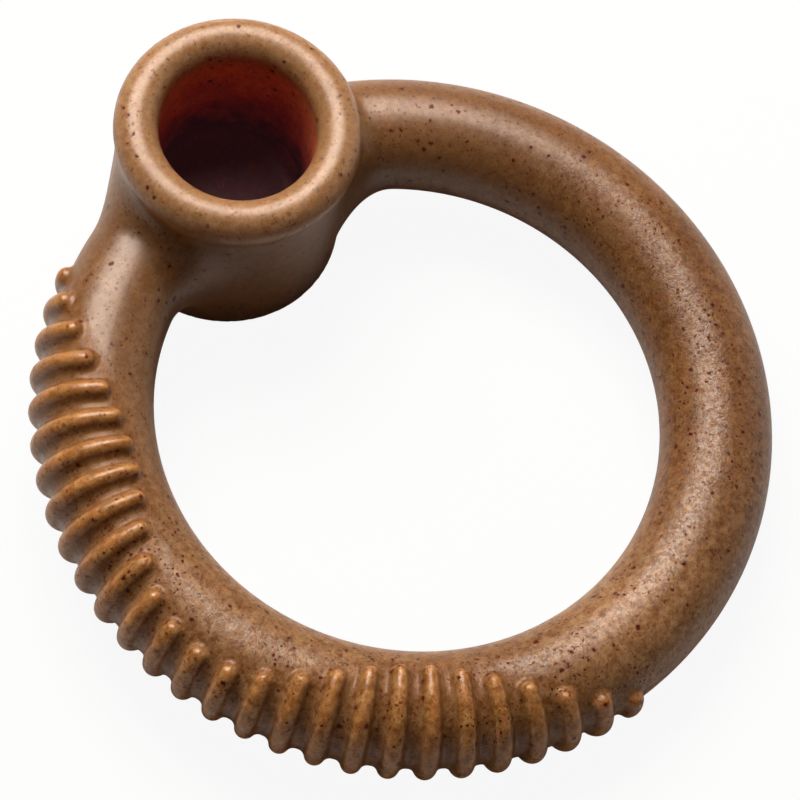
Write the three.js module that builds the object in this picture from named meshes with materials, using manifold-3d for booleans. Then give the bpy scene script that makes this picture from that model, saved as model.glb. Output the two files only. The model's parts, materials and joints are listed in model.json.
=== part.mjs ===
// A chew ring moulded in solid nylon: a round tube bent into a ring, a blind treat cup that
// stands through it, a rolled rim round the cup's mouth, and ribs across the tube's outer side.
// Lengths are in millimetres and angles in degrees. +Z is up, and the cup is on the +Y side.
// The origin is on the floor, under the middle of the box round the ring as it lies at rest.

import * as THREE from "three";
import { ConvexHull } from "three/addons/math/ConvexHull.js";
import { mergeVertices } from "three/addons/utils/BufferGeometryUtils.js";
import Module from "manifold-3d";

const wasm = await Module();
wasm.setup();

// The ring's tube
const ringRadius = 54; // from the ring's centre to the middle of the tube
const tubeRadius = 9.8;

// The treat cup. Its axis crosses the middle of the tube, square to the ring's mid-plane.
const cupAngle = 90;
const pocketRadius = 13.8;
const cupWall = 7;
const cupFloor = 7.8; // thickness left under the pocket
const cupBaseDepth = 16.8; // from the ring's mid-plane down to the flat base
const baseEdgeRadius = 0.8;
const pocketCornerRadius = 3;

// The rolled rim, a round bead that is flush with the pocket and stands proud of the cup's wall
const rimOverhang = 0.72;
const rimTopHeight = 21.6; // from the ring's mid-plane up to the crown of the bead

// The flare where the tube runs into the cup's wall: its radius on the side towards the ring's
// centre, on the outer side, over the tube's top and under it
const innerFlare = 9;
const outerFlare = 6.5;
const topFlare = 4.8;
const underFlare = 6.8;

// The ribs, counted from the one next to the cup round to the one opposite it. A rib's reach
// is how far it runs up and down the tube from the tube's outer side.
const ribCount = 27;
const firstRibAngle = 34.2; // from the cup
const lastRibAngle = 180; // from the cup
const ribHeight = 1.87; // of the crest above the tube
const ribCrestRadius = 1.8; // of a rib's rounded back, on the tube's outer side
const ribRootRadius = 1.4; // of the fillet between a rib and the tube
const endRibReach = 30;
const longestRibReach = 122;
const longestRibShare = 0.5; // of the way from an end rib to the middle one
const middleRibReach = 65;

// The seam left between one region of the moulding and the next
const seam = 0.3;

// How finely round forms are divided
const fullTurn = 360;
const tubeSides = 24;
const plainStep = 6;
const flareStep = 1;
const flareHalvings = 20;
const flareSpanShare = 1.4; // of the cup's own half angle, as seen from the ring's centre
const buriedSpanShare = 0.5;
const cupSides = 64;
const rimSteps = 12;
const edgeSteps = 3;
const ribCrestSteps = 4;
const ribStep = 16;
const ribEndShares = [0.5, 0.8, 0.95]; // rows in a rounded end, in half widths of the rib

// The settling ends once a step turns the ring by less than this share of a whole cosine
const settledShare = 1e-9;

const { degToRad: radians, radToDeg: degrees, lerp } = THREE.MathUtils;

const cupWallRadius = pocketRadius + cupWall;
const rimBeadRadius = (cupWall + rimOverhang) / 2;
const rimBeadCircle = pocketRadius + rimBeadRadius; // radius of the circle the bead follows
const rimBeadHeight = rimTopHeight - rimBeadRadius;
const rimUnderAngle = Math.acos((cupWallRadius - rimBeadCircle) / rimBeadRadius);
const rimJointHeight = rimBeadHeight - rimBeadRadius * Math.sin(rimUnderAngle);
const cupTopHeight = rimJointHeight - seam;
const pocketFloorHeight = cupFloor - cupBaseDepth;
const cupPlace = new THREE.Vector3(
  ringRadius * Math.cos(radians(cupAngle)),
  ringRadius * Math.sin(radians(cupAngle)),
  0,
);

// Points of an arc in a lathe's outline, from one angle to another
function arc(centreRadius, centreHeight, radius, from, to, steps) {
  const points = [];
  for (let i = 0; i <= steps; i++) {
    const angle = from + ((to - from) * i) / steps;
    points.push(
      new THREE.Vector2(
        centreRadius + radius * Math.cos(angle),
        centreHeight + radius * Math.sin(angle),
      ),
    );
  }
  return points;
}

// A body turned round a vertical axis
function turned(outline) {
  return new THREE.LatheGeometry(outline, cupSides).rotateX(Math.PI / 2);
}

// A closed skin over a row of loops, each with as many points, and one closing point at each end.
// Looking from the first loop towards the last, a loop's points run anticlockwise.
function skin(startPoint, loops, endPoint) {
  const sides = loops[0].length;
  const points = [startPoint, ...loops.flat(), endPoint];
  const faces = [];
  const at = (row, side) => 1 + row * sides + (side % sides);
  const last = loops.length - 1;
  for (let side = 0; side < sides; side++) {
    faces.push(0, at(0, side), at(0, side + 1));
    for (let row = 0; row < last; row++) {
      faces.push(at(row, side), at(row + 1, side + 1), at(row, side + 1));
      faces.push(at(row, side), at(row + 1, side), at(row + 1, side + 1));
    }
    faces.push(points.length - 1, at(last, side + 1), at(last, side));
  }
  const geometry = new THREE.BufferGeometry().setFromPoints(points);
  geometry.setIndex(faces);
  geometry.computeVertexNormals();
  return geometry;
}

// A point on the tube or above it, where along is the angle round the ring and round is the
// angle round the tube, from its outer side over its top
function tubePoint(along, round, rise) {
  const reach = ringRadius + (tubeRadius + rise) * Math.cos(round);
  return new THREE.Vector3(
    reach * Math.cos(along),
    reach * Math.sin(along),
    (tubeRadius + rise) * Math.sin(round),
  );
}

function solid(geometry) {
  const bare = geometry.clone();
  bare.deleteAttribute("normal");
  bare.deleteAttribute("uv");
  const merged = mergeVertices(bare);
  return new wasm.Manifold(
    new wasm.Mesh({
      numProp: 3,
      vertProperties: new Float32Array(merged.attributes.position.array),
      triVerts: new Uint32Array(merged.index.array),
    }),
  );
}

function geometryOf(manifold) {
  const mesh = manifold.getMesh();
  const geometry = new THREE.BufferGeometry();
  geometry.setAttribute("position", new THREE.BufferAttribute(mesh.vertProperties, 3));
  geometry.setIndex(new THREE.BufferAttribute(mesh.triVerts, 1));
  geometry.computeVertexNormals();
  return geometry;
}

// The space that the ring's tube stops short of, one seam outside the cup's wall and bead
function cupClearance() {
  const beyondTube = cupBaseDepth + rimTopHeight;
  const bead = arc(
    rimBeadCircle,
    rimBeadHeight,
    rimBeadRadius + seam,
    -Math.acos((cupWallRadius - rimBeadCircle + seam) / (rimBeadRadius + seam)),
    Math.PI / 2,
    rimSteps,
  );
  return turned([
    new THREE.Vector2(0, -beyondTube),
    new THREE.Vector2(cupWallRadius + seam, -beyondTube),
    ...bead,
    new THREE.Vector2(0, rimTopHeight + seam),
  ]);
}

// How far the tube swells on its way to the cup, so that a round fillet meets tube and wall.
// The swelling is found by halving: a point is under the fillet's skin when it lies more than
// the fillet's radius from the line that runs one radius clear of both tube and wall.
function flareAt(along, round) {
  const sideFlare = lerp(outerFlare, innerFlare, (1 - Math.cos(round)) / 2);
  const steepFlare = round < Math.PI ? topFlare : underFlare;
  const radius = lerp(sideFlare, steepFlare, Math.sin(round) ** 4);
  let under = 0;
  let over = radius;
  for (let i = 0; i < flareHalvings; i++) {
    const rise = (under + over) / 2;
    const point = tubePoint(along, round, rise);
    const fromWall = Math.hypot(point.x - cupPlace.x, point.y - cupPlace.y) - cupWallRadius;
    const inset = Math.hypot(radius - rise, Math.max(radius - fromWall, 0));
    if (inset > radius) under = rise;
    else over = rise;
  }
  return over;
}

// Angles from the cup of the tube's cross-sections: close together where it flares
function sectionAngles() {
  const cupHalfAngle = degrees(2 * Math.asin(cupWallRadius / (2 * ringRadius)));
  const buried = cupHalfAngle * buriedSpanShare;
  const flared = cupHalfAngle * flareSpanShare;
  const near = Math.ceil((flared - buried) / flareStep);
  const plain = Math.ceil((fullTurn - 2 * flared) / plainStep);
  const angles = [];
  for (let i = 0; i < near; i++) angles.push(lerp(buried, flared, i / near));
  for (let i = 0; i < plain; i++) angles.push(lerp(flared, fullTurn - flared, i / plain));
  for (let i = 0; i <= near; i++) angles.push(fullTurn - lerp(flared, buried, i / near));
  return angles;
}

function ringBody() {
  const loops = sectionAngles().map((angle) => {
    const along = radians(cupAngle + angle);
    const loop = [];
    for (let side = 0; side < tubeSides; side++) {
      const round = (2 * Math.PI * side) / tubeSides;
      loop.push(tubePoint(along, round, flareAt(along, round)));
    }
    return loop;
  });
  const middleOf = (loop) =>
    loop.reduce((sum, point) => sum.add(point), new THREE.Vector3()).divideScalar(loop.length);
  const tube = skin(middleOf(loops[0]), loops, middleOf(loops.at(-1)));
  const cup = cupClearance().translate(cupPlace.x, cupPlace.y, cupPlace.z);
  return geometryOf(solid(tube).subtract(solid(cup)));
}

function treatCup() {
  const baseEdge = arc(
    cupWallRadius - baseEdgeRadius,
    baseEdgeRadius - cupBaseDepth,
    baseEdgeRadius,
    -Math.PI / 2,
    0,
    edgeSteps,
  );
  const pocketCorner = arc(
    pocketRadius - pocketCornerRadius,
    pocketFloorHeight + pocketCornerRadius,
    pocketCornerRadius,
    0,
    -Math.PI / 2,
    edgeSteps,
  );
  return turned([
    new THREE.Vector2(0, -cupBaseDepth),
    ...baseEdge,
    new THREE.Vector2(cupWallRadius, cupTopHeight),
    new THREE.Vector2(pocketRadius, cupTopHeight),
    ...pocketCorner,
    new THREE.Vector2(0, pocketFloorHeight),
  ]);
}

function cupRim() {
  const bead = arc(
    rimBeadCircle,
    rimBeadHeight,
    rimBeadRadius,
    -rimUnderAngle,
    Math.PI,
    rimSteps,
  );
  return turned([...bead, new THREE.Vector2(pocketRadius, rimJointHeight), bead[0].clone()]);
}

// A rib's reach grows from the end rib to the longest one and eases back to the middle rib, on
// both sides of the middle alike, so that the ribs stand in two leaf-shaped patches.
function ribReach(index) {
  const middle = (ribCount - 1) / 2;
  const inwards = 1 - Math.abs(index - middle) / middle;
  if (inwards < longestRibShare) {
    const rise = Math.sin(((Math.PI / 2) * inwards) / longestRibShare);
    return lerp(endRibReach, longestRibReach, rise);
  }
  const past = (inwards - longestRibShare) / (1 - longestRibShare);
  return lerp(longestRibReach, middleRibReach, (1 - Math.cos(Math.PI * past)) / 2);
}

// A rib's cross-section on the tube's outer side, from one foot over the crest to the other:
// how far each point lies to the side, and how far above the tube. The fillets at its root
// stop where they come within a seam of the tube.
function ribProfile() {
  const crestCentre = ribHeight - ribCrestRadius;
  const lean = Math.asin((crestCentre - ribRootRadius) / (ribCrestRadius + ribRootRadius));
  const rootSide = (ribCrestRadius + ribRootRadius) * Math.cos(lean);
  const foot = rootSide - Math.sqrt(ribRootRadius ** 2 - (ribRootRadius - seam) ** 2);
  const profile = [[foot, seam]];
  for (let i = 0; i <= ribCrestSteps; i++) {
    const turn = lerp(-lean, Math.PI + lean, i / ribCrestSteps);
    profile.push([
      ribCrestRadius * Math.cos(turn),
      crestCentre + ribCrestRadius * Math.sin(turn),
    ]);
  }
  profile.push([-foot, seam]);
  return profile;
}

// One rib across the tube at the ring's zero angle: a bar with a round back and round ends,
// as wide in angle all the way round the tube
function rib(index) {
  const profile = ribProfile();
  const outerRadius = ringRadius + tubeRadius;
  const reach = radians(ribReach(index));
  const endWidth = (profile[0][0] / outerRadius) * (ringRadius + tubeRadius * Math.cos(reach));
  const endAngle = endWidth / tubeRadius;
  const straight = reach - endAngle;
  const steps = Math.ceil((2 * straight) / radians(ribStep));
  const rows = ribEndShares.map((share) => [-straight - endAngle * share, share]).reverse();
  for (let i = 0; i <= steps; i++) rows.push([-straight + (2 * straight * i) / steps, 0]);
  rows.push(...ribEndShares.map((share) => [straight + endAngle * share, share]));
  const loops = rows.map(([round, endShare]) => {
    const size = Math.sqrt(1 - endShare ** 2);
    return profile.map(([side, rise]) =>
      tubePoint((side * size) / outerRadius, round, lerp(seam, rise, size)),
    );
  });
  return skin(tubePoint(0, -reach, seam), loops, tubePoint(0, reach, seam));
}

// Looks of the nylon: tan where it is thick, more amber where the light gets through
const tan = 0x9a6b47;
const paleTan = 0xa97c58;
const amber = 0x9c6635;
const nylonRoughness = 0.42;

function piece(name, geometry, colour) {
  const material = new THREE.MeshStandardMaterial({
    color: colour,
    roughness: nylonRoughness,
    metalness: 0,
  });
  const mesh = new THREE.Mesh(geometry, material);
  mesh.name = name;
  return mesh;
}

const moulding = new THREE.Group();
moulding.add(piece("ring_body", ringBody(), tan));

const cup = new THREE.Group();
cup.position.copy(cupPlace);
cup.add(piece("treat_cup", treatCup(), tan));
cup.add(piece("cup_rim", cupRim(), paleTan));
moulding.add(cup);

for (let index = 0; index < ribCount; index++) {
  const number = String(index + 1).padStart(2, "0");
  const bar = piece(`chew_rib_${number}`, rib(index), amber);
  const fromCup = lerp(firstRibAngle, lastRibAngle, index / (ribCount - 1));
  bar.rotation.z = radians(cupAngle + fromCup);
  moulding.add(bar);
}

// The corners of every mesh in a group, as the group places them
function placedMeshes(group) {
  group.updateMatrixWorld(true);
  const meshes = [];
  group.traverse((object) => {
    if (!object.isMesh) return;
    const geometry = object.geometry.clone().applyMatrix4(object.matrixWorld);
    const positions = geometry.attributes.position;
    const corners = [];
    for (let i = 0; i < positions.count; i++)
      corners.push(new THREE.Vector3().fromBufferAttribute(positions, i));
    meshes.push({ corners, faces: geometry.index.array });
  });
  return meshes;
}

// The centre of mass, from the tetrahedra between the group's origin and each face
function centreOfMass(meshes) {
  const centre = new THREE.Vector3();
  let total = 0;
  for (const { corners, faces } of meshes) {
    for (let i = 0; i < faces.length; i += 3) {
      const [a, b, c] = [corners[faces[i]], corners[faces[i + 1]], corners[faces[i + 2]]];
      const volume = a.dot(new THREE.Vector3().crossVectors(b, c)) / 6;
      const middle = new THREE.Vector3().add(a).add(b).add(c).divideScalar(4);
      centre.addScaledVector(middle, volume);
      total += volume;
    }
  }
  return centre.divideScalar(total);
}

// Which way is down, in the moulding's own frame, once it has rolled onto the floor and come
// to rest with its centre of mass over the three points that carry it
function settledDown(group) {
  const meshes = placedMeshes(group);
  const centre = centreOfMass(meshes);
  const hull = new ConvexHull().setFromPoints(meshes.flatMap(({ corners }) => corners));
  let down = new THREE.Vector3(0, 0, -1);
  for (;;) {
    let nearest = Infinity;
    let under = down;
    for (const { normal, constant } of hull.faces) {
      const facing = normal.dot(down);
      if (facing <= 0) continue;
      const drop = (constant - normal.dot(centre)) / facing;
      if (drop < nearest) {
        nearest = drop;
        under = normal;
      }
    }
    if (under.dot(down) > 1 - settledShare) return down;
    down = under.clone();
  }
}

moulding.quaternion.setFromUnitVectors(settledDown(moulding), new THREE.Vector3(0, 0, -1));
moulding.updateMatrixWorld(true);
const box = new THREE.Box3().setFromObject(moulding, true);
const middle = box.getCenter(new THREE.Vector3());
moulding.position.set(-middle.x, -middle.y, -box.min.z);

const chewRing = new THREE.Group();
chewRing.add(moulding);

export default chewRing;
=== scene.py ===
"""Blender looks of a chew ring of moulded nylon with a treat cup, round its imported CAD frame.

The real ring is one moulding. Here one smooth skin stands for the tube, the cup and the rolled
rim, which run into each other through fillets, and each chew rib has a closed skin of its own.

Sizes are in millimetres in the ring's own frame: the origin is the ring's centre, +Z is square
to the ring, and the cup is on the +Y side. RestingPose takes points from there to the floor.
"""

import json
import logging
import math
from collections.abc import Callable
from dataclasses import dataclass
from enum import Enum
from itertools import pairwise
from typing import Any

import bmesh
import bpy
import numpy as np
from mathutils import Matrix, Quaternion, Vector


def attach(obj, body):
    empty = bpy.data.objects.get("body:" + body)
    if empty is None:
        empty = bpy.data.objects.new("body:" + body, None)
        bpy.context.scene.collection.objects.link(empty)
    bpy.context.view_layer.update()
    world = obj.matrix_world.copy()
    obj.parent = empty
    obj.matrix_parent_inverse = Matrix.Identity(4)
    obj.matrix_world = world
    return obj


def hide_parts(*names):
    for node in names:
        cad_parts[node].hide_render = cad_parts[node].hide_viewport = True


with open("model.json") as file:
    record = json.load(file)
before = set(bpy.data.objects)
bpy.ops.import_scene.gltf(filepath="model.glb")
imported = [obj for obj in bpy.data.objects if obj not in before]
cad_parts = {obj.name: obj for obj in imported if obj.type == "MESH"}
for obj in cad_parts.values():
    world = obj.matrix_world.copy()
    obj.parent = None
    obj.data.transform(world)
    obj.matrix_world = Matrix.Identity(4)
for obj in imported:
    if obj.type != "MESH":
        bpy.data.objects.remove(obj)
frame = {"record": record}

MM = 0.001  # metres in a millimetre
TINY = 1e-9  # keeps a division from failing
WELD = 1e-4  # millimetres within which two corners become one
FIRST_DRAWS = 4  # steps that bring a new skin onto its surface
LATER_DRAWS = 2  # steps after each evening out of the skin
EVENINGS = 6  # how often it is evened out
NOISE_MEAN = 0.5  # of each part of a noise's colour

log = logging.getLogger("chew_ring")

Distance = Callable[[np.ndarray], np.ndarray]
Socket = bpy.types.NodeSocket
Colour = Socket | tuple[float, ...]


class Slot(Enum):
    """The record's material slots."""

    NYLON = "nylon"
    RIB_NYLON = "rib_nylon"


class Ray(Enum):
    """Kinds of ray that see the white background rather than the floor's own grey."""

    CAMERA = "Is Camera Ray"
    GLOSSY = "Is Glossy Ray"
    TRANSMISSION = "Is Transmission Ray"


class Blend(Enum):
    """Ways to mix a colour into another."""

    MIX = "MIX"
    MULTIPLY = "MULTIPLY"


class Mark(Enum):
    """What the moulding's own meshes say of each of their corners, from 0 to 1."""

    SWELL = "swell"  # how high it stands on a rib, which sets the painted light on the crests
    DEPTH = "depth"  # how deep it lies in the pocket, which sets the painted light and shade there
    PAINTED_PALE = "painted_pale"  # how much painted paleness it has, which stands in for light on the rim and on two stretches of the ring
    COVER = "cover"  # how closely ribs stand round it, which keep light from passing underneath; it also sets the painted shade between the ribs and at their feet


@dataclass(frozen=True)
class RestingPose:
    """How the ring lies on the floor.

    Attributes:
        turn: rotation from the ring's own frame to the row frame.
        centre: the ring's centre in the row frame, in metres.
    """

    turn: Quaternion
    centre: Vector

    @classmethod
    def from_record(cls, record: dict[str, Any], base_centre: Vector) -> "RestingPose":
        """Reads the pose from the mount on the cup's flat base, which faces straight down
        in the ring's own frame.

        Args:
            record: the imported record.
            base_centre: middle of the flat base in the ring's own frame, in millimetres.

        Returns:
            The pose at rest.
        """
        mount = next(mount for mount in record["mounts"] if mount["name"] == "cup_base")
        turn = Vector((0, 0, -1)).rotation_difference(Vector(mount["axis"]))
        return cls(turn, Vector(mount["pos_m"]) - turn @ (base_centre * MM))

    def matrix(self) -> Matrix:
        """Returns the move from millimetres in the ring's frame to metres in the row frame."""
        return Matrix.Translation(self.centre) @ self.turn.to_matrix().to_4x4() @ Matrix.Scale(MM, 4)


def round_union(first: np.ndarray, second: np.ndarray, radius: np.ndarray | float) -> np.ndarray:
    """Joins two solids with a fillet where they meet.

    Args:
        first: distances from the first solid's surface.
        second: distances from the second solid's surface.
        radius: radius of the fillet.

    Returns:
        Distances from the joined solid.
    """
    corner = np.hypot(np.maximum(radius - first, 0), np.maximum(radius - second, 0))
    return np.maximum(radius, np.minimum(first, second)) - corner


def rounded_drum(
    reach: np.ndarray, height: np.ndarray, radius: float, bottom: float, top: float, edge: float
) -> np.ndarray:
    """Measures from an upright drum with rounded edges.

    Args:
        reach: distances from the drum's axis.
        height: heights of the points.
        radius: the drum's radius.
        bottom: height of its bottom.
        top: height of its top.
        edge: radius of its rounded edges.

    Returns:
        Distances from the drum's surface, negative inside.
    """
    sideways = reach - (radius - edge)
    upright = np.abs(height - (top + bottom) / 2) - ((top - bottom) / 2 - edge)
    outside = np.hypot(np.maximum(sideways, 0), np.maximum(upright, 0))
    return outside + np.minimum(np.maximum(sideways, upright), 0) - edge


@dataclass(frozen=True)
class Tube:
    """The round tube bent into a ring."""

    ring_radius: float = 54.0
    radius: float = 9.8

    @property
    def outer_radius(self) -> float:
        """Returns the radius of the ring's outer side."""
        return self.ring_radius + self.radius

    def outwards(self, points: np.ndarray) -> np.ndarray:
        """Returns how far each point lies outside the middle line of the tube."""
        return np.hypot(points[:, 0], points[:, 1]) - self.ring_radius

    def rise(self, points: np.ndarray) -> np.ndarray:
        """Returns how far each point lies above the tube's surface."""
        return np.hypot(self.outwards(points), points[:, 2]) - self.radius

    def steepness(self, points: np.ndarray) -> tuple[np.ndarray, np.ndarray]:
        """Finds where each point lies round the tube.

        Args:
            points: places in the ring's frame.

        Returns:
            Cosine and sine of the angle from the tube's outer side over its top.
        """
        outwards = self.outwards(points)
        away = np.maximum(np.hypot(outwards, points[:, 2]), TINY)
        return outwards / away, points[:, 2] / away

    def place(self, along: np.ndarray, around: np.ndarray, rise: np.ndarray) -> np.ndarray:
        """Finds points by their angles and height.

        Args:
            along: angles round the ring from the +X side, in radians.
            around: angles round the tube from its outer side over its top, in radians.
            rise: heights above the tube's surface.

        Returns:
            The points in the ring's frame.
        """
        reach = self.ring_radius + (self.radius + rise) * np.cos(around)
        height = (self.radius + rise) * np.sin(around)
        return np.stack([reach * np.cos(along), reach * np.sin(along), height], axis=-1)


@dataclass(frozen=True)
class TreatCup:
    """The cup that stands through the tube, with a flat base, a blind pocket and a rolled rim."""

    tube: Tube
    pocket_radius: float = 13.8
    wall: float = 7.0
    floor: float = 7.8
    base_depth: float = 16.8
    base_edge_radius: float = 0.8
    pocket_corner_radius: float = 3.0
    rim_overhang: float = 0.72
    rim_top: float = 21.6
    rim_root_radius: float = 0.6
    mouth_rise: float = 1.5  # of the pocket's mouth above the middle of the bead
    skin_slack: float = 0.3  # distance within which a point counts as on the pocket's wall

    @property
    def wall_radius(self) -> float:
        """Returns the radius of the cup's outer wall."""
        return self.pocket_radius + self.wall

    @property
    def bead_radius(self) -> float:
        """Returns the radius of the rolled rim's round bead."""
        return (self.wall + self.rim_overhang) / 2

    @property
    def bead_height(self) -> float:
        """Returns the height of the middle of the bead."""
        return self.rim_top - self.bead_radius

    @property
    def base_centre(self) -> Vector:
        """Returns the middle of the flat base."""
        return Vector((0, self.tube.ring_radius, -self.base_depth))

    def reach(self, points: np.ndarray) -> np.ndarray:
        """Returns how far each point lies from the cup's axis."""
        return np.hypot(points[:, 0], points[:, 1] - self.tube.ring_radius)

    def depth(self, points: np.ndarray) -> np.ndarray:
        """Finds how deep points of the skin lie in the pocket.

        Args:
            points: places on the skin.

        Returns:
            0 at the mouth and outside to 1 at the pocket's floor.
        """
        bottom = self.floor - self.base_depth
        mouth = self.bead_height + self.mouth_rise
        share = np.clip((mouth - points[:, 2]) / (mouth - bottom), 0, 1)
        return np.where(np.abs(self.pocket(points)) < self.skin_slack, share, 0)

    def body(self, points: np.ndarray) -> np.ndarray:
        """Returns distances from the cup's outer wall and base."""
        bottom, top = -self.base_depth, self.bead_height
        return rounded_drum(
            self.reach(points), points[:, 2], self.wall_radius, bottom, top, self.base_edge_radius
        )

    def bead(self, points: np.ndarray) -> np.ndarray:
        """Returns distances from the rolled rim."""
        circle = self.pocket_radius + self.bead_radius
        return np.hypot(self.reach(points) - circle, points[:, 2] - self.bead_height) - self.bead_radius

    def pocket(self, points: np.ndarray) -> np.ndarray:
        """Returns distances from the space inside the pocket, which is open at the top."""
        bottom, top = self.floor - self.base_depth, self.rim_top + self.wall_radius
        return rounded_drum(
            self.reach(points), points[:, 2], self.pocket_radius, bottom, top, self.pocket_corner_radius
        )


@dataclass(frozen=True)
class PaintedPaleness:
    """Paleness painted onto the nylon as painted light, where the lamps leave it too dark. It is palest
    in the rolled rim, and pale along the ribbed side and opposite the cup.

    Attributes:
        stretches: for each pale stretch of the ring the bearing of its middle in degrees from
            the +X side, how far round it stays pale, and how pale it is where the rim is 1.
        rim_bottom: height where the rim starts to turn pale.
        rim_top: height where it is fully pale.
    """

    stretches: tuple[tuple[float, float, float], ...] = ((277.0, 24.0, 0.8), (195.0, 55.0, 0.6))
    rim_bottom: float = 11.0
    rim_top: float = 20.0

    def painted_pale(self, points: np.ndarray) -> np.ndarray:
        """Finds how much painted paleness each point gets.

        Args:
            points: places in the ring's frame.

        Returns:
            0 for the plain body to 1 for the most painted paleness.
        """
        bearing = np.degrees(np.arctan2(points[:, 1], points[:, 0]))
        pale = np.clip((points[:, 2] - self.rim_bottom) / (self.rim_top - self.rim_bottom), 0, 1)
        for middle, spread, share in self.stretches:
            past = (bearing - middle + 180) % 360 - 180
            pale = np.maximum(pale, share * np.exp(-((past / spread) ** 2)))
        return pale


@dataclass(frozen=True)
class Moulding:
    """Tube, cup and rim as one solid, with a flare where the tube runs into the cup."""

    tube: Tube
    cup: TreatCup
    inner_flare: float = 9.0
    outer_flare: float = 6.5
    top_flare: float = 4.8
    under_flare: float = 6.8
    cell: float = 0.68  # of the grid that the skin is drawn from; its faces come out finer

    def distance(self, points: np.ndarray) -> np.ndarray:
        """Measures from the whole moulding, the ribs left out.

        Args:
            points: places in the ring's frame.

        Returns:
            Distances from its surface, negative inside.
        """
        cosine, sine = self.tube.steepness(points)
        side = self.outer_flare + (self.inner_flare - self.outer_flare) * (1 - cosine) / 2
        steep = np.where(sine > 0, self.top_flare, self.under_flare)
        flare = side + (steep - side) * sine**4
        solid = round_union(self.tube.rise(points), self.cup.body(points), flare)
        solid = round_union(solid, self.cup.bead(points), self.cup.rim_root_radius)
        return np.maximum(solid, -self.cup.pocket(points))

    def skin(self) -> tuple[np.ndarray, np.ndarray]:
        """Draws the moulding's skin.

        Returns:
            Its corners and its four-sided faces.
        """
        side = self.tube.outer_radius
        back = self.tube.ring_radius + self.cup.wall_radius + self.cup.rim_overhang
        margin = 2 * self.cell
        low = np.array([-side, -side, -self.cup.base_depth]) - margin
        high = np.array([side, back, self.cup.rim_top]) + margin
        return surface_net(self.distance, low, high, self.cell)

    def build(self, ribs: "ChewRibs", painted_paleness: PaintedPaleness, pose: RestingPose, nylon: bpy.types.Material) -> None:
        """Makes the skin and dresses it.

        Args:
            ribs: the ribs that stand on it.
            painted_paleness: where light is painted in as paleness.
            pose: how the ring lies.
            nylon: what it is made of.
        """
        corners, faces = self.skin()
        marks = {
            Mark.DEPTH: self.cup.depth(corners),
            Mark.PAINTED_PALE: painted_paleness.painted_pale(corners),
            Mark.COVER: ribs.cover(corners),
        }
        skin = add_piece("ring_skin", corners, faces, marks, pose)
        skin.data.materials.append(nylon)
        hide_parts("ring_body", "treat_cup", "cup_rim")


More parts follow.
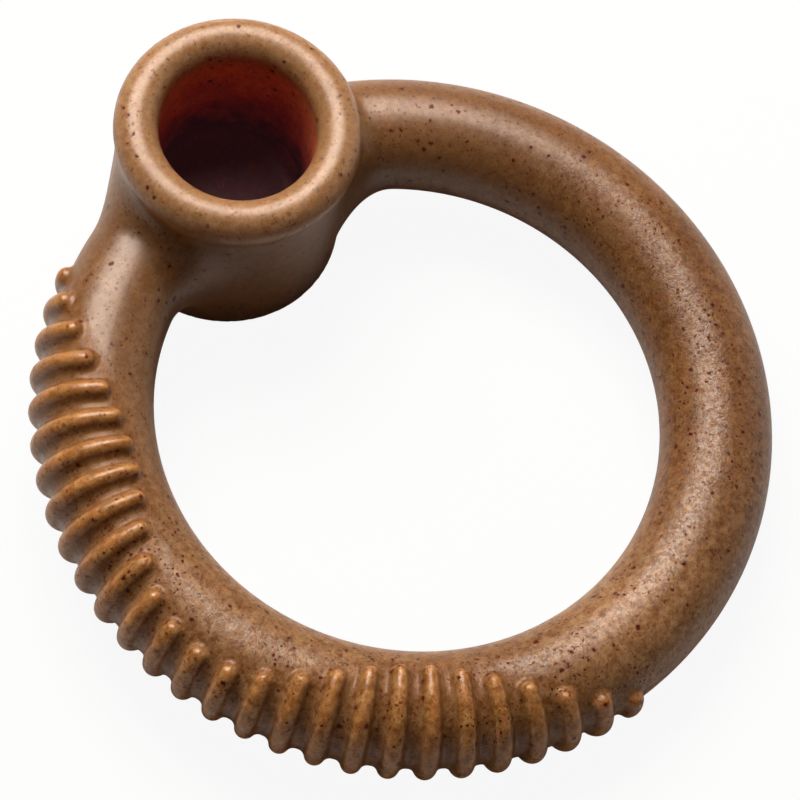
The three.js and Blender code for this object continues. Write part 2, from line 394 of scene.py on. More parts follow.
@dataclass(frozen=True)
class ChewRibs:
    """The ribs across the tube's outer side, from the one next to the cup to the one opposite."""

    tube: Tube
    count: int = 27
    first_angle: float = 34.2  # from the cup, in degrees
    last_angle: float = 180.0
    height: float = 1.87
    crest_radius: float = 1.8
    root_radius: float = 1.4
    end_reach: float = 30.0  # degrees up and down the tube from its outer side
    longest_reach: float = 122.0
    middle_reach: float = 65.0
    hidden_depth: float = 2.6  # of a rib's underside below the tube's surface
    skirt: float = 0.5  # width of the hidden border that dips below the tube's surface
    skirt_sag_share: float = 0.05  # how far its middle dips, as a share of its width
    cover_fade: float = 1.5  # width of the stretch past the ribs where the tube still feels them
    arc_step: float = 12.0  # degrees
    length_step: float = 0.55

    @property
    def pitch(self) -> float:
        """Returns the angle from one rib to the next, in degrees."""
        return (self.last_angle - self.first_angle) / (self.count - 1)

    def reach(self, index: np.ndarray) -> np.ndarray:
        """Finds how far ribs run up and down the tube. The ribs stand in two leaf-shaped
        patches: the reach grows from either end and eases back towards the middle rib.

        Args:
            index: the ribs, counted from the end next to the cup.

        Returns:
            Their reaches in radians.
        """
        middle = (self.count - 1) / 2
        inwards = 1 - np.abs(index - middle) / middle
        grown = np.sin(np.pi * inwards)
        eased = (1 - np.cos(2 * np.pi * (inwards - 0.5))) / 2
        growing = self.end_reach + (self.longest_reach - self.end_reach) * grown
        easing = self.longest_reach + (self.middle_reach - self.longest_reach) * eased
        return np.radians(np.where(inwards < 0.5, growing, easing))

    def cover(self, points: np.ndarray) -> np.ndarray:
        """Finds how closely ribs stand round points of the tube.

        Args:
            points: places in the ring's frame.

        Returns:
            0 away from the ribs to 1 among them.
        """
        from_cup = (np.degrees(np.arctan2(points[:, 1], points[:, 0])) - 90) % 360
        index = (from_cup - self.first_angle) / self.pitch
        nearest = np.clip(index, 0, self.count - 1)
        around = np.abs(np.arctan2(points[:, 2], self.tube.outwards(points)))
        past_end = np.abs(index - nearest) * math.radians(self.pitch) * self.tube.outer_radius
        past_reach = np.maximum(around - self.reach(nearest), 0) * self.tube.radius
        return np.clip(1 - np.hypot(past_end, past_reach) / self.cover_fade, 0, 1)

    def profile(self) -> np.ndarray:
        """Draws a rib's cross-section from deep under its foot up to its crest.

        Returns:
            Rows of distance from the rib's middle line and height above the tube.
        """
        crest_centre = self.height - self.crest_radius
        both = self.crest_radius + self.root_radius
        lean = math.asin((crest_centre - self.root_radius) / both)
        foot = both * math.cos(lean)
        rows = [
            (0.0, -self.hidden_depth),
            (foot, -self.hidden_depth),
            (foot + self.skirt, -self.skirt),
            (foot + self.skirt / 2, -self.skirt * self.skirt_sag_share),
            (foot, 0.0),
        ]
        for across, up, radius, start, end in (
            (foot, self.root_radius, self.root_radius, -math.pi / 2, -math.pi - lean),
            (0.0, crest_centre, self.crest_radius, -lean, math.pi / 2),
        ):
            steps = math.ceil(abs(end - start) / math.radians(self.arc_step))
            angles = np.linspace(start, end, steps + 1)[1:]
            rows.extend(zip(across + radius * np.cos(angles), up + radius * np.sin(angles)))
        return np.array(rows)

    def outline(self, straight: float, squeeze: float) -> tuple[np.ndarray, np.ndarray, np.ndarray]:
        """Walks once round a rib's middle line.

        Args:
            straight: half the length of the middle line.
            squeeze: width of the rib's ends as a share of its width on the tube's outer side.

        Returns:
            For each step its place on the middle line, and the sideways and lengthways parts
            of the direction that leads outwards there.
        """
        sides = math.ceil(2 * straight / self.length_step)
        line = np.linspace(-straight, straight, sides + 1)
        turns = np.radians(np.arange(self.arc_step, 180, self.arc_step))
        place = np.concatenate(
            [line, np.full(len(turns), straight), line[::-1], np.full(len(turns), -straight)]
        )
        angle = np.concatenate([np.zeros(len(line)), turns, np.full(len(line), np.pi), turns + np.pi])
        return place, np.cos(angle), squeeze * np.sin(angle)

    def skin(self, index: int) -> tuple[np.ndarray, np.ndarray, np.ndarray]:
        """Draws the closed skin of one rib.

        Args:
            index: the rib, counted from the end next to the cup.

        Returns:
            Its corners, its four-sided faces, and how high each corner stands on the rib as
            a share of the rib's height.
        """
        profile = self.profile()
        foot = profile[1, 0]
        outer = self.tube.outer_radius
        reach = float(self.reach(np.array(index)))
        squeeze = (self.tube.ring_radius + self.tube.radius * math.cos(reach)) / outer
        straight = reach * self.tube.radius - foot * squeeze
        place, sideways, lengthways = self.outline(straight, squeeze)
        from_cup = self.first_angle + self.pitch * index
        along = math.radians(90 + from_cup) + np.outer(profile[:, 0], sideways) / outer
        around = (place + np.outer(profile[:, 0], lengthways)) / self.tube.radius
        rise = np.repeat(profile[:, 1:], len(place), axis=1)
        corners = self.tube.place(along, around, rise).reshape(-1, 3)
        rows, steps = rise.shape
        at = np.arange(rows * steps).reshape(rows, steps)
        after = np.roll(at, -1, axis=1)
        faces = np.stack([at[:-1], after[:-1], after[1:], at[1:]], axis=-1).reshape(-1, 4)
        return corners, faces, np.clip(rise.reshape(-1) / self.height, 0, 1)

    def build(self, painted_paleness: PaintedPaleness, pose: RestingPose, nylon: bpy.types.Material) -> None:
        """Makes the ribs and dresses them.

        Args:
            painted_paleness: where light is painted in as paleness.
            pose: how the ring lies.
            nylon: what they are made of.
        """
        for index in range(self.count):
            corners, faces, swell = self.skin(index)
            marks = {
                Mark.SWELL: swell,
                Mark.PAINTED_PALE: painted_paleness.painted_pale(corners),
                # puts the painted groove shade at the rib's foot
                Mark.COVER: (1 - swell) ** 2,
            }
            rib = add_piece(f"rib_skin_{index + 1:02d}", corners, faces, marks, pose)
            rib.data.materials.append(nylon)
            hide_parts(f"chew_rib_{index + 1:02d}")


def surface_net(
    distance: Distance, low: np.ndarray, high: np.ndarray, cell: float
) -> tuple[np.ndarray, np.ndarray]:
    """Wraps a solid in four-sided faces of nearly one size. One corner stands in each cube of
    a grid that the solid's surface runs through. The corners are then drawn onto the surface
    and spread evenly over it.

    Args:
        distance: measures from the solid's surface, negative inside.
        low: lowest corner of a box round the solid.
        high: highest corner of that box.
        cell: size of the grid's cubes.

    Returns:
        The corners and the faces of the skin, with the faces turned outwards.
    """
    axes = [np.arange(start, stop + cell, cell) for start, stop in zip(low, high)]
    inside = np.empty([len(axis) for axis in axes], bool)
    for i, x in enumerate(axes[0]):
        slab = np.stack(np.meshgrid(x, axes[1], axes[2], indexing="ij"), axis=-1)
        inside[i] = (distance(slab.reshape(-1, 3)) < 0).reshape(inside.shape[1:])
    filled = inside.astype(np.int8)
    for axis in range(3):
        count = filled.shape[axis]
        filled = filled.take(range(count - 1), axis) + filled.take(range(1, count), axis)
    crossed = (filled > 0) & (filled < 8)
    number = np.full(crossed.shape, -1)
    number[crossed] = np.arange(np.count_nonzero(crossed))
    corners = low + (np.argwhere(crossed) + 0.5) * cell
    faces = []
    for axis in range(3):
        count = inside.shape[axis]
        first, second = inside.take(range(count - 1), axis), inside.take(range(1, count), axis)
        ring = np.zeros((4, 3), int)
        ring[:, (axis + 1) % 3] = [0, -1, -1, 0]
        ring[:, (axis + 2) % 3] = [0, 0, -1, -1]
        for outwards, order in ((first & ~second, [0, 1, 2, 3]), (second & ~first, [3, 2, 1, 0])):
            around = np.argwhere(outwards)[:, None, :] + ring[order]
            faces.append(number[around[..., 0], around[..., 1], around[..., 2]])
    faces = np.concatenate(faces)
    corners = drawn_onto(distance, corners, FIRST_DRAWS)
    for _ in range(EVENINGS):
        corners = drawn_onto(distance, evened(corners, faces), LATER_DRAWS)
    return corners, faces


def drawn_onto(distance: Distance, points: np.ndarray, rounds: int) -> np.ndarray:
    """Draws points onto a solid's surface by Newton's method.

    Args:
        distance: measures from the surface.
        points: where the points are.
        rounds: how often each point is moved.

    Returns:
        The moved points.
    """
    nudge = 0.01
    least_slope = 0.1
    for _ in range(rounds):
        slope = np.empty_like(points)
        for axis in range(3):
            offset = np.zeros(3)
            offset[axis] = nudge
            slope[:, axis] = (distance(points + offset) - distance(points - offset)) / (2 * nudge)
        steepness = np.maximum((slope**2).sum(axis=1), least_slope)
        points = points - slope * (distance(points) / steepness)[:, None]
    return points


def evened(points: np.ndarray, faces: np.ndarray) -> np.ndarray:
    """Moves each corner of a mesh to the middle of its neighbours.

    Args:
        points: the corners.
        faces: four-sided faces, each edge of which two faces share in opposite directions.

    Returns:
        The moved corners.
    """
    starts, ends = faces.reshape(-1), np.roll(faces, -1, axis=1).reshape(-1)
    shares = np.bincount(starts, minlength=len(points))
    sums = [np.bincount(starts, points[ends, axis], len(points)) for axis in range(3)]
    return np.stack(sums, axis=-1) / shares[:, None]


def add_piece(
    name: str, corners: np.ndarray, faces: np.ndarray, marks: dict[Mark, np.ndarray], pose: RestingPose
) -> bpy.types.Object:
    """Makes a smooth piece that rides on the ring.

    Args:
        name: the piece's name.
        corners: places in the ring's frame, in millimetres.
        faces: four-sided faces.
        marks: what is said of each corner.
        pose: how the ring lies.

    Returns:
        The new object.
    """
    mesh = bpy.data.meshes.new(name)
    mesh.from_pydata(corners.tolist(), [], faces.tolist())
    for mark in Mark:
        values = marks.get(mark, np.zeros(len(corners)))
        mesh.attributes.new(mark.value, "FLOAT", "POINT").data.foreach_set("value", values)
    body = bmesh.new()
    body.from_mesh(mesh)
    bmesh.ops.remove_doubles(body, verts=body.verts, dist=WELD)
    bmesh.ops.recalc_face_normals(body, faces=body.faces)
    body.to_mesh(mesh)
    body.free()
    mesh.transform(pose.matrix())
    mesh.shade_smooth()
    piece = bpy.data.objects.new(name, mesh)
    bpy.context.scene.collection.objects.link(piece)
    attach(piece, "root")
    log.info("%s: %d faces", name, len(mesh.polygons))
    return piece


def linear(colour: str) -> tuple[float, float, float, float]:
    """Turns an sRGB hex colour into the linear values that shaders take.

    Args:
        colour: six hex digits.

    Returns:
        Red, green, blue and an alpha of 1.
    """
    parts = [int(colour[i : i + 2], 16) / 255 for i in (0, 2, 4)]
    red, green, blue = (c / 12.92 if c <= 0.04045 else ((c + 0.055) / 1.055) ** 2.4 for c in parts)
    return red, green, blue, 1.0


def bare_material(name: str) -> bpy.types.Material:
    """Makes a material that has no nodes yet.

    Args:
        name: the material's name.

    Returns:
        The material.
    """
    material = bpy.data.materials.new(name)
    material.use_nodes = True
    material.node_tree.nodes.clear()
    return material


def add_node(
    tree: bpy.types.NodeTree, kind: str, inputs: dict[Any, Any] | None = None, **settings: Any
) -> bpy.types.Node:
    """Adds a node with its settings and links.

    Args:
        tree: the nodes of a material or of the world.
        kind: the node's type, without the ShaderNode that all of them start with.
        inputs: a value or another node's output for each named or numbered input.
        settings: the node's own settings.

    Returns:
        The new node.
    """
    node = tree.nodes.new(f"ShaderNode{kind}")
    for name, value in settings.items():
        setattr(node, name, value)
    for name, value in (inputs or {}).items():
        if isinstance(value, bpy.types.NodeSocket):
            tree.links.new(value, node.inputs[name])
        else:
            node.inputs[name].default_value = value
    return node


@dataclass(frozen=True)
class Layer:
    """A colour that is mixed into another.

    Attributes:
        value: how much of it each place has.
        colour: the colour.
        share: factor of the value. What comes out is kept between 0 and 1.
        blend: how it is mixed in.
    """

    value: Socket | float
    colour: Colour
    share: float = 1.0
    blend: Blend = Blend.MIX


def layered(tree: bpy.types.NodeTree, colour: Colour, layers: list[Layer]) -> Colour:
    """Mixes layer after layer into a colour.

    Args:
        tree: the nodes of a material or of the world.
        colour: what lies under the layers.
        layers: the layers from the bottom up.

    Returns:
        The mixed colour.
    """
    for layer in layers:
        much = add_node(tree, "Math", {0: layer.value, 1: layer.share}, operation="MULTIPLY")
        inputs = {0: much.outputs["Value"], 6: colour, 7: layer.colour}
        blend = layer.blend.value
        colour = add_node(tree, "Mix", inputs, data_type="RGBA", blend_type=blend).outputs[2]
    return colour


@dataclass(frozen=True)
class Patches:
    """A soft random pattern.

    Attributes:
        size: size of its largest patches, in millimetres.
        span: the values of the raw pattern, which lie about 0.5, that become 0 and 1.
        finer: how many finer sizes are added, each half the last.
        strength: strength of each finer size as a share of the last.
    """

    size: float
    span: tuple[float, float] = (0.0, 1.0)
    finer: float = 2.0
    strength: float = 0.5

    def draw(self, tree: bpy.types.NodeTree, place: Socket) -> Socket:
        """Draws the pattern.

        Args:
            tree: the material's nodes.
            place: places in millimetres.

        Returns:
            A value from 0 to 1 at each place.
        """
        sizes = {"Scale": 1 / self.size, "Detail": self.finer, "Roughness": self.strength}
        raw = add_node(tree, "TexNoise", {"Vector": place, **sizes}).outputs["Fac"]
        inputs = {"Value": raw, "From Min": self.span[0], "From Max": self.span[1]}
        return add_node(tree, "MapRange", inputs).outputs["Result"]


@dataclass(frozen=True)
class Flecks:
    """One size of the dark flecks in the nylon.

    Attributes:
        spacing: mean distance between places where a fleck may lie, in millimetres.
        radius: radius of the largest fleck, in millimetres.
        share: share of the places that hold a fleck.
        edge: width of a fleck's soft edge, in millimetres.
        halo: width of the stain round a fleck, in millimetres.
    """

    spacing: float
    radius: float
    share: float
    edge: float
    halo: float

    def draw(self, tree: bpy.types.NodeTree, place: Socket) -> tuple[Socket, Socket]:
        """Draws the flecks.

        Args:
            tree: the material's nodes.
            place: places in millimetres.

        Returns:
            How much of a fleck, and of the stain round it, lies at each place, from 0 to 1.
        """
        spots = add_node(tree, "TexVoronoi", {"Vector": place, "Scale": 1 / self.spacing})
        chance = add_node(tree, "SeparateColor", {"Color": spots.outputs["Color"]}).outputs["Red"]
        inputs = {
            "Value": chance,
            "From Min": 1 - self.share,
            "To Min": -(self.edge + self.halo) / self.spacing,
            "To Max": self.radius / self.spacing,
        }
        radius = add_node(tree, "MapRange", inputs).outputs["Result"]
        inputs = {0: radius, 1: spots.outputs["Distance"]}
        depth = add_node(tree, "Math", inputs, operation="SUBTRACT").outputs["Value"]
        core = add_node(tree, "MapRange", {"Value": depth, "From Max": self.edge / self.spacing})
        inputs = {"Value": depth, "From Min": -self.halo / self.spacing, "From Max": 0.0}
        stain = add_node(tree, "MapRange", inputs)
        return core.outputs["Result"], stain.outputs["Result"]


@dataclass(frozen=True)
class Places:
    """What the nylon's patterns are drawn over.

    Attributes:
        tree: the material's nodes.
        even: places in millimetres.
        ragged: the same, shifted at random so that outlines turn ragged.
        marks: what the moulding says of each place.
        graininess: how far the skin has turned grainy, up to 1.
    """

    tree: bpy.types.NodeTree
    even: Socket
    ragged: Socket
    marks: dict[Mark, Socket]
    graininess: Socket


@dataclass(frozen=True)
class PocketPaintedLight:
    """The nylon down in the pocket, coloured with painted light and shade. A painted red glow near the
    mouth stands for light that comes through the wall; then it turns plum, and painted shade makes it
    almost black at the floor, where painted shade also dims the gloss more and more.

    Attributes:
        mouth_depth: depth where the rim's own colour has gone.
        painted_shades: some depths and the colours painted there, from a red glow down to near-black
            shade.
        drift: how far the depths of the shades stray.
        sheen: tint that dims the gloss from the first shade down, as painted shade.
        glow: colour of a painted glow that the skin gives off down to the floor, for light that comes
            through the nylon further than the light that scatters under the skin is traced.
        roughness: roughness at the floor.
    """

    mouth_depth: float = 0.14
    painted_shades: tuple[tuple[float, str], ...] = ((0.25, "c46840"), (0.58, "983c38"), (0.9, "30141a"))
    drift: float = 0.2
    sheen: str = "8c7478"
    glow: str = "1a0a0c"
    roughness: float = 0.5

    def colour(self, places: Places, straying: Socket) -> Colour:
        """Mixes the painted light and shade down in the pocket.

        Args:
            places: what the patterns are drawn over.
            straying: the pattern that the shades stray with, from 0 to 1.

        Returns:
            The colour at each place.
        """
        inputs = {0: straying, 1: self.drift, 2: places.marks[Mark.DEPTH]}
        depth = add_node(places.tree, "Math", inputs, operation="MULTIPLY_ADD").outputs["Value"]
        layers = []
        for (start, _), (end, shade) in pairwise(self.painted_shades):
            span = {"From Min": start + self.drift / 2, "From Max": end + self.drift / 2}
            much = add_node(places.tree, "MapRange", {"Value": depth, **span}).outputs["Result"]
            layers.append(Layer(much, linear(shade)))
        return layered(places.tree, linear(self.painted_shades[0][1]), layers)


@dataclass(frozen=True)
class Relief:
    """The skin's fine relief: a slight orange peel, and a grain that grows away from the cup.

    Attributes:
        peel: pattern of the orange peel.
        peel_height: height of the orange peel, in millimetres.
        grain: pattern of the grain, drawn about twice as coarse as it is, so that it shows.
        grain_height: height of the full grain, in millimetres.
        smooth_reach: distance from the cup where the grain starts to grow, in millimetres.
        grainy_reach: distance where it is full, in millimetres.
        least_grain: share of the grain that the skin has at the cup.
    """

    peel: Patches = Patches(1.6, finer=1.0)
    peel_height: float = 0.03
    grain: Patches = Patches(0.3, finer=1.0)
    grain_height: float = 0.05
    smooth_reach: float = 40.0
    grainy_reach: float = 80.0
    least_grain: float = 0.2

    def graininess(self, tree: bpy.types.NodeTree, place: Socket, cup_place: Vector) -> Socket:
        """Finds how far the skin has turned grainy.

        Args:
            tree: the material's nodes.
            place: places in metres.
            cup_place: the cup's place in the row frame, in metres.

        Returns:
            The least grain near the cup to 1 far from it.
        """
        ends = {0: place, 1: tuple(cup_place)}
        inputs = {
            "Value": add_node(tree, "VectorMath", ends, operation="DISTANCE").outputs["Value"],
            "From Min": self.smooth_reach * MM,
            "From Max": self.grainy_reach * MM,
            "To Min": self.least_grain,
        }
        return add_node(tree, "MapRange", inputs).outputs["Result"]

    def normal(self, places: Places) -> Socket:
        """Draws the relief.

        Args:
            places: what the patterns are drawn over.

        Returns:
            The direction that the skin faces at each place.
        """
        peel = {
            "Height": self.peel.draw(places.tree, places.even),
            "Distance": self.peel_height * MM,
            "Strength": 1.0,
        }
        grain = {
            "Height": self.grain.draw(places.tree, places.even),
            "Distance": self.grain_height * MM,
            "Strength": places.graininess,
            "Normal": add_node(places.tree, "Bump", peel).outputs["Normal"],
        }
        return add_node(places.tree, "Bump", grain).outputs["Normal"]


@dataclass(frozen=True)
class Nylon:
    """Nylon 66 with ground flavour flakes, injection moulded and left as it came from the tool. The eye
    gets a satin, slightly translucent tan body, clouded and peppered with flakes, under a smooth skin
    that turns grainy far from the gate. Light and shade are painted into its colour too: painted light
    as amber on the ribs' crests where the nylon is thin, as red near the pocket's mouth for light
    through the wall, and as paleness on the rim and two stretches of the ring; painted shade in the
    grooves between the ribs and deep in the pocket.
    """

    name: str
    glow_depth: float = 4.0  # how far red light gets under the skin, in millimetres
    roughness: float = 0.38
    rough_spread: float = 0.06
    ior: float = 1.62  # nylon's own is 1.53, and the flakes at the skin raise it
    tan: str = "684321"  # the plain body
    painted_pale: str = "8a633e"  # painted light as paleness on the rim and on two stretches of the ring
    amber: str = "7c5128"  # in the clouds
    painted_crest_light: str = "986735"  # painted light on the crests of the ribs, for light through the thin nylon
    painted_groove_shade: str = "6a4022"  # painted shade between the ribs and at their feet
    brown: str = "5c3010"  # in the veins
    fleck: str = "46180c"
    stain: str = "52260c"  # round each flake
    sheen: str = "f8e6d6"  # tint of the gloss
    dull_sheen: str = "988a84"  # between the sparkles of the grainy skin
    # painted shade that dims the gloss between the ribs
    groove_gloss_shade: str = "c0b0a8"
    fleck_sheen: str = "a86c50"
    dark_tinge: tuple[float, ...] = (0.66, 0.5, 0.25, 1.0)  # factors of the speckle's dark end
    pale_tinge: tuple[float, ...] = (1.4, 1.6, 1.95, 1.0)  # factors of its pale end
    clouds: Patches = Patches(16.0, (0.35, 0.7))
    crowds: Patches = Patches(7.0, (0.4, 0.6), 3.0)
    veins: Patches = Patches(2.6, (0.46, 0.66), 4.0, 0.62)
    speckle: Patches = Patches(1.5, (0.38, 0.62), 4.0, 0.9)
    satin: Patches = Patches(1.7, (0.3, 0.7), 4.0, 0.65)
    sparkle: Patches = Patches(0.9, (0.42, 0.6), 3.0, 0.8)
    flakes: Flecks = Flecks(1.7, 0.45, 0.85, 0.08, 0.3)
    specks: Flecks = Flecks(0.72, 0.33, 0.85, 0.05, 0.0)
    cloud_share: float = 0.6
    groove_shade_share: float = 0.5
    vein_share: float = 0.4
    stain_share: float = 0.6
    least_crowd: float = 0.25  # share of the specks that is everywhere
    least_speckle: float = 0.45  # share of the speckle that is left on the smooth skin
    ragged_size: float = 0.7  # millimetres
    ragged_reach: float = 0.9  # millimetres
    glow_shares: tuple[float, ...] = (1.0, 0.42, 0.18)  # how far each colour gets, red being 1
    covered_glow: float = 0.3  # share of the glow that is left where ribs stand
    pocket: PocketPaintedLight = PocketPaintedLight()
    relief: Relief = Relief()

    def places(self, tree: bpy.types.NodeTree, cup_place: Vector) -> Places:
        """Finds what the patterns are drawn over.

        Args:
            tree: the material's nodes.
            cup_place: the cup's place in the row frame, in metres.

        Returns:
            The places.
        """
        place = add_node(tree, "TexCoord").outputs["Object"]
        inputs = {0: place, "Scale": 1 / MM}
        even = add_node(tree, "VectorMath", inputs, operation="SCALE").outputs["Vector"]
        noise = add_node(tree, "TexNoise", {"Vector": even, "Scale": 1 / self.ragged_size})
        inputs = {0: noise.outputs["Color"], 1: (NOISE_MEAN,) * 3}
        shift = add_node(tree, "VectorMath", inputs, operation="SUBTRACT").outputs["Vector"]
        inputs = {0: shift, 1: (self.ragged_reach,) * 3, 2: even}
        ragged = add_node(tree, "VectorMath", inputs, operation="MULTIPLY_ADD").outputs["Vector"]
        marks = {}
        for mark in Mark:
            marks[mark] = add_node(tree, "Attribute", attribute_name=mark.value).outputs["Fac"]
        return Places(tree, even, ragged, marks, self.relief.graininess(tree, place, cup_place))

    def flecking(self, places: Places, crowds: Socket, peppered: Socket) -> tuple[Socket, Socket]:
        """Draws the flakes and, crowded together in places, the specks.

        Args:
            places: what the patterns are drawn over.
            crowds: where the specks crowd together.
            peppered: how many specks the most crowded places have.

        Returns:
            How much of a fleck, and of a flake's stain, lies at each place.
        """
        tree = places.tree
        inputs = {"Value": crowds, "To Min": self.least_crowd, "To Max": peppered}
        crowded = add_node(tree, "MapRange", inputs).outputs["Result"]
        flake, stain = self.flakes.draw(tree, places.ragged)
        speck, _ = self.specks.draw(tree, places.ragged)
        thinned = add_node(tree, "Math", {0: speck, 1: crowded}, operation="MULTIPLY")
        inputs = {0: thinned.outputs["Value"], 1: flake}
        return add_node(tree, "Math", inputs, operation="MAXIMUM").outputs["Value"], stain

    def colour(self, places: Places) -> tuple[Colour, Socket]:
        """Mixes the nylon's colour.

        Args:
            places: what the patterns are drawn over.

        Returns:
            The colour at each place, and how much of a fleck lies there.
        """
        tree, marks = places.tree, places.marks
        inputs = {"Value": places.graininess, "To Min": self.least_speckle}
        peppered = add_node(tree, "MapRange", inputs).outputs["Result"]
        crowds = self.crowds.draw(tree, places.even)
        fleck, stain = self.flecking(places, crowds, peppered)
        inputs = {0: self.veins.draw(tree, places.ragged), 1: places.graininess}
        veins = add_node(tree, "Math", inputs, operation="MULTIPLY").outputs["Value"]
        speckle = self.speckle.draw(tree, places.ragged)
        layers = [
            Layer(self.clouds.draw(tree, places.even), linear(self.amber), self.cloud_share),
            # painted light: paleness on the rim and on two stretches of the ring
            Layer(marks[Mark.PAINTED_PALE], linear(self.painted_pale)),
            # painted light: amber on the crests of the ribs
            Layer(marks[Mark.SWELL], linear(self.painted_crest_light)),
            # painted shade between the ribs and at their feet
            Layer(marks[Mark.COVER], linear(self.painted_groove_shade), self.groove_shade_share),
            # painted light and shade down the pocket
            Layer(marks[Mark.DEPTH], self.pocket.colour(places, crowds), 1 / self.pocket.mouth_depth),
            Layer(veins, linear(self.brown), self.vein_share),
            Layer(stain, linear(self.stain), self.stain_share),
            Layer(
                peppered,
                layered(tree, self.pale_tinge, [Layer(speckle, self.dark_tinge)]),
                blend=Blend.MULTIPLY,
            ),
            Layer(fleck, linear(self.fleck)),
        ]
        return layered(tree, linear(self.tan), layers), fleck

    def gloss_tint(self, places: Places, fleck: Socket) -> Colour:
        """Tints the gloss, which sparkles where the skin is grainy and is weaker on the flecks. Painted
        shade makes it weaker in the pocket and in the grooves between the ribs.

        Args:
            places: what the patterns are drawn over.
            fleck: how much of a fleck lies at each place.

        Returns:
            The tint at each place.
        """
        inputs = {0: self.sparkle.draw(places.tree, places.ragged), 1: places.graininess}
        dull = add_node(places.tree, "Math", inputs, operation="MULTIPLY").outputs["Value"]
        layers = [
            Layer(value, linear(tint), share, Blend.MULTIPLY)
            for value, tint, share in (
                (dull, self.dull_sheen, 1.0),
                # painted shade: dims the gloss down the pocket
                (places.marks[Mark.DEPTH], self.pocket.sheen, 1 / self.pocket.painted_shades[0][0]),
                # painted shade: dims the gloss between the ribs
                (places.marks[Mark.COVER], self.groove_gloss_shade, 1.0),
                (fleck, self.fleck_sheen, 1.0),
            )
        ]
        return layered(places.tree, linear(self.sheen), layers)

    def rough(self, places: Places) -> Socket:
        """Draws the satin skin, which is rougher down in the pocket.

        Args:
            places: what the patterns are drawn over.

        Returns:
            The roughness at each place.
        """
        inputs = {
            "Value": self.satin.draw(places.tree, places.ragged),
            "To Min": self.roughness - self.rough_spread,
            "To Max": self.roughness + self.rough_spread,
        }
        satin = add_node(places.tree, "MapRange", inputs).outputs["Result"]
        inputs = {0: places.marks[Mark.DEPTH], 1: self.pocket.roughness - self.roughness, 2: satin}
        return add_node(places.tree, "Math", inputs, operation="MULTIPLY_ADD").outputs["Value"]

    def material(self, cup_place: Vector) -> bpy.types.Material:
        """Makes the nylon.

        Args:
            cup_place: the cup's place in the row frame, in metres. The grain grows away
                from it.

        Returns:
            The material.
        """
        material = bare_material(self.name)
        tree = material.node_tree
        places = self.places(tree, cup_place)
        colour, fleck = self.colour(places)
        cover = {"Value": places.marks[Mark.COVER], "To Min": 1.0, "To Max": self.covered_glow}
        inputs = {
            "Base Color": colour,
            "Roughness": self.rough(places),
            "IOR": self.ior,
            "Normal": self.relief.normal(places),
            "Specular Tint": self.gloss_tint(places, fleck),
            # painted glow: the pocket's skin gives off light, more the deeper it lies
            "Emission Color": linear(self.pocket.glow),
            "Emission Strength": places.marks[Mark.DEPTH],
            "Subsurface Weight": add_node(tree, "MapRange", cover).outputs["Result"],
            "Subsurface Radius": self.glow_shares,
            "Subsurface Scale": self.glow_depth * MM,
        }
        shader = add_node(tree, "BsdfPrincipled", inputs)
        add_node(tree, "OutputMaterial", {"Surface": shader.outputs["BSDF"]})
        return material


BODY_NYLON = Nylon("moulded_nylon")
# Light leaves a thin rib sooner, and its crest is smoother than the tube.
RIB_NYLON = Nylon("moulded_nylon_rib", glow_depth=1.6, roughness=0.31)


def direction(bearing: float, elevation: float) -> Vector:
    """Points somewhere.

    Args:
        bearing: degrees from +Y towards +X.
        elevation: degrees upwards.

    Returns:
        A vector of length 1 that points there.
    """
    across, up = math.radians(bearing), math.radians(elevation)
    level = math.cos(up)
    return Vector((math.sin(across) * level, math.cos(across) * level, math.sin(up)))


@dataclass(frozen=True)
class SoftBox:
    """A lamp behind an oblong white cloth, aimed at the ring.

    Attributes:
        name: the lamp's name.
        bearing: degrees from +Y towards +X.
        elevation: degrees above the floor.
        distance: from the ring, in metres.
        width: the cloth's level side, in metres.
        height: its other side, in metres.
        radiance: how bright its cloth looks, where a white background is 1.
    """

    name: str
    bearing: float
    elevation: float
    distance: float
    width: float
    height: float
    radiance: float

    def hang(self, target: Vector) -> None:
        """Hangs the lamp.

        Args:
            target: what it is aimed at, in metres.
        """
        away = direction(self.bearing, self.elevation)
        lamp = bpy.data.lights.new(self.name, "AREA")
        lamp.shape = "RECTANGLE"
        lamp.size = self.width
        lamp.size_y = self.height
        lamp.energy = self.radiance * math.pi * self.width * self.height
        holder = bpy.data.objects.new(self.name, lamp)
        holder.location = target + away * self.distance
        holder.rotation_mode = "QUATERNION"
        holder.rotation_quaternion = away.to_track_quat("Z", "Y")
        bpy.context.scene.collection.objects.link(holder)


@dataclass(frozen=True)
class Camera:
    """The photograph's camera, placed in the ring's own frame.

    Attributes:
        azimuth: degrees, 0 looks along +Y.
        elevation: degrees above the ring's mid-plane.
        roll: degrees anticlockwise about the line of sight, seen from the front.
        distance: from the aim, in millimetres.
        aim: where the line of sight meets the ring's mid-plane, in millimetres.
        lens: focal length in millimetres.
        sensor: width of the sensor in millimetres.
        clip: nearest distance at which things are seen, in metres.
    """

    azimuth: float = -52.089
    elevation: float = 65.945
    roll: float = 17.281
    distance: float = 596.02
    aim: tuple[float, float, float] = (0.005, 2.728, 0.0)
    lens: float = 154.677
    sensor: float = 36.0
    clip: float = 0.01

    def set_up(self, pose: RestingPose) -> None:
        """Makes the camera and looks through it.

        Args:
            pose: how the ring lies.
        """
        back = direction(180 - self.azimuth, self.elevation)
        level = back.to_track_quat("Z", "Y")
        rolled = Quaternion(back, math.radians(self.roll)) @ level
        data = bpy.data.cameras.new("camera")
        data.lens = self.lens
        data.sensor_width = self.sensor
        data.sensor_fit = "HORIZONTAL"
        data.clip_start = self.clip
        camera = bpy.data.objects.new("camera", data)
        camera.location = pose.matrix() @ (Vector(self.aim) + back * self.distance)
        camera.rotation_mode = "QUATERNION"
        camera.rotation_quaternion = pose.turn @ rolled
        bpy.context.scene.collection.objects.link(camera)
        bpy.context.scene.camera = camera


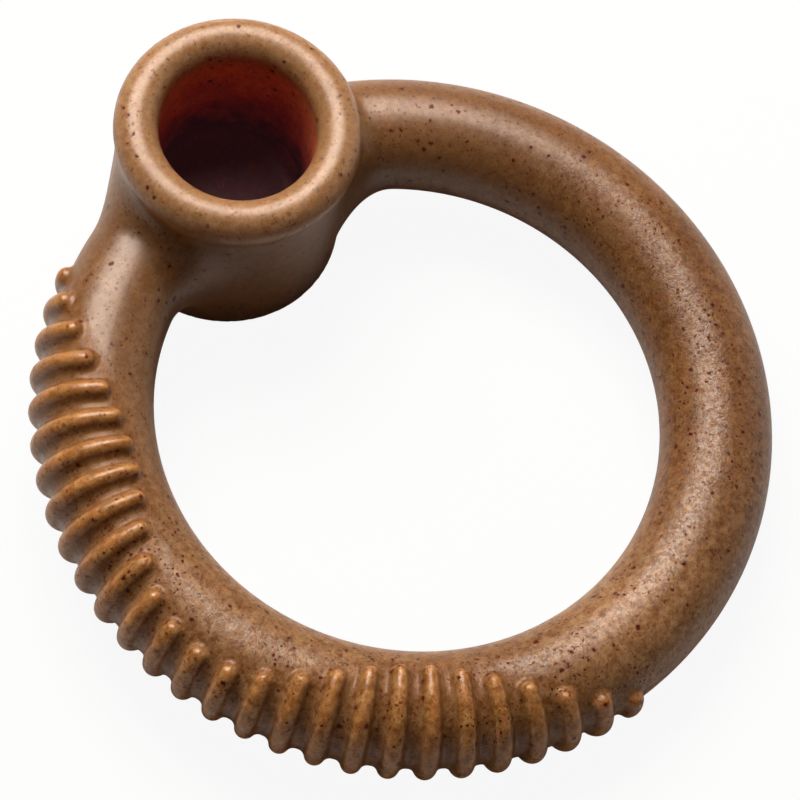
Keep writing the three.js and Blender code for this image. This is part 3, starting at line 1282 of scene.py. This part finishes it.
@dataclass(frozen=True)
class Studio:
    """A white floor, soft lamps, and a dark room with a pale skirting all round.

    Attributes:
        floor_side: side of the floor, in metres.
        floor_white: the floor's paint to the camera and in reflections.
        floor_grey: the floor's paint to other light.
        glow_share: how much of the floor the camera sees as glowing white.
        skirting: colour of the skirting.
        room: colour of the room.
        skirting_top: degrees above the floor where the skirting starts to fade.
        room_bottom: degrees above the floor where the room is fully dark.
        lamps: the lamps.
    """

    floor_side: float = 6.0
    floor_white: str = "c6c0ba"
    floor_grey: str = "c4bab0"
    glow_share: float = 0.92
    skirting: str = "a09084"
    room: str = "3c3b3a"
    skirting_top: float = 5.0
    room_bottom: float = 14.0
    lamps: tuple[SoftBox, ...] = (
        SoftBox("key_softbox", 18, 57, 0.7, 0.58, 0.48, 12.6),
        SoftBox("side_card", 105, 16, 0.9, 0.6, 0.5, 0.7),
    )

    def board(self) -> bpy.types.Material:
        """Makes the floor's painted board. It is white to the camera and in reflections, and
        keeps the ring's shadow, which a glow makes faint to the camera. To light that falls on
        the ring from below it is grey.

        Returns:
            The material.
        """
        material = bare_material("painted_board")
        tree = material.node_tree
        path = add_node(tree, "LightPath")
        seen: Socket | float = 0.0
        for ray in Ray:
            inputs = {0: path.outputs[ray.value], 1: seen}
            added = add_node(tree, "Math", inputs, operation="ADD", use_clamp=True)
            seen = added.outputs["Value"]
        paint = layered(tree, linear(self.floor_grey), [Layer(seen, linear(self.floor_white))])
        board = add_node(tree, "BsdfDiffuse", {"Color": paint})
        glow = add_node(tree, "Emission")
        inputs = {0: path.outputs[Ray.CAMERA.value], 1: self.glow_share}
        share = add_node(tree, "Math", inputs, operation="MULTIPLY").outputs["Value"]
        inputs = {0: share, 1: board.outputs["BSDF"], 2: glow.outputs["Emission"]}
        both = add_node(tree, "MixShader", inputs)
        add_node(tree, "OutputMaterial", {"Surface": both.outputs["Shader"]})
        return material

    def lay_floor(self) -> None:
        """Lays the floor."""
        half = self.floor_side / 2
        square = [(x * half, y * half, 0) for x, y in ((-1, -1), (1, -1), (1, 1), (-1, 1))]
        mesh = bpy.data.meshes.new("floor")
        mesh.from_pydata(square, [], [(0, 1, 2, 3)])
        mesh.materials.append(self.board())
        floor = bpy.data.objects.new("floor", mesh)
        bpy.context.scene.collection.objects.link(floor)

    def surround(self) -> None:
        """Makes the surroundings: a dark room above a pale skirting."""
        world = bpy.data.worlds.new("studio")
        world.use_nodes = True
        tree = world.node_tree
        tree.nodes.clear()
        place = add_node(tree, "TexCoord").outputs["Generated"]
        inputs = {
            "Value": add_node(tree, "SeparateXYZ", {"Vector": place}).outputs["Z"],
            "From Min": math.sin(math.radians(self.skirting_top)),
            "From Max": math.sin(math.radians(self.room_bottom)),
        }
        height = add_node(tree, "MapRange", inputs, interpolation_type="SMOOTHSTEP")
        layer = Layer(height.outputs["Result"], linear(self.room))
        colour = layered(tree, linear(self.skirting), [layer])
        walls = add_node(tree, "Background", {"Color": colour})
        add_node(tree, "OutputWorld", {"Surface": walls.outputs["Background"]})
        bpy.context.scene.world = world

    def build(self, target: Vector) -> None:
        """Sets up the whole studio.

        Args:
            target: what the lamps are aimed at, in metres.
        """
        self.lay_floor()
        self.surround()
        for lamp in self.lamps:
            lamp.hang(target)
        bpy.context.scene.view_settings.view_transform = "Standard"


def main() -> None:
    """Builds the ring's skins, dresses them and sets up the studio."""
    logging.basicConfig(level=logging.INFO, format="%(message)s")
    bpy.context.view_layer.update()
    tube = Tube()
    cup = TreatCup(tube)
    ribs = ChewRibs(tube)
    painted_paleness = PaintedPaleness()
    pose = RestingPose.from_record(frame["record"], cup.base_centre)
    cup_place = pose.matrix() @ Vector((0, tube.ring_radius, 0))

    Moulding(tube, cup).build(ribs, painted_paleness, pose, BODY_NYLON.material(cup_place))
    ribs.build(painted_paleness, pose, RIB_NYLON.material(cup_place))
    Studio().build(pose.centre)
    Camera().set_up(pose)


if __name__ == "__main__":
    main()
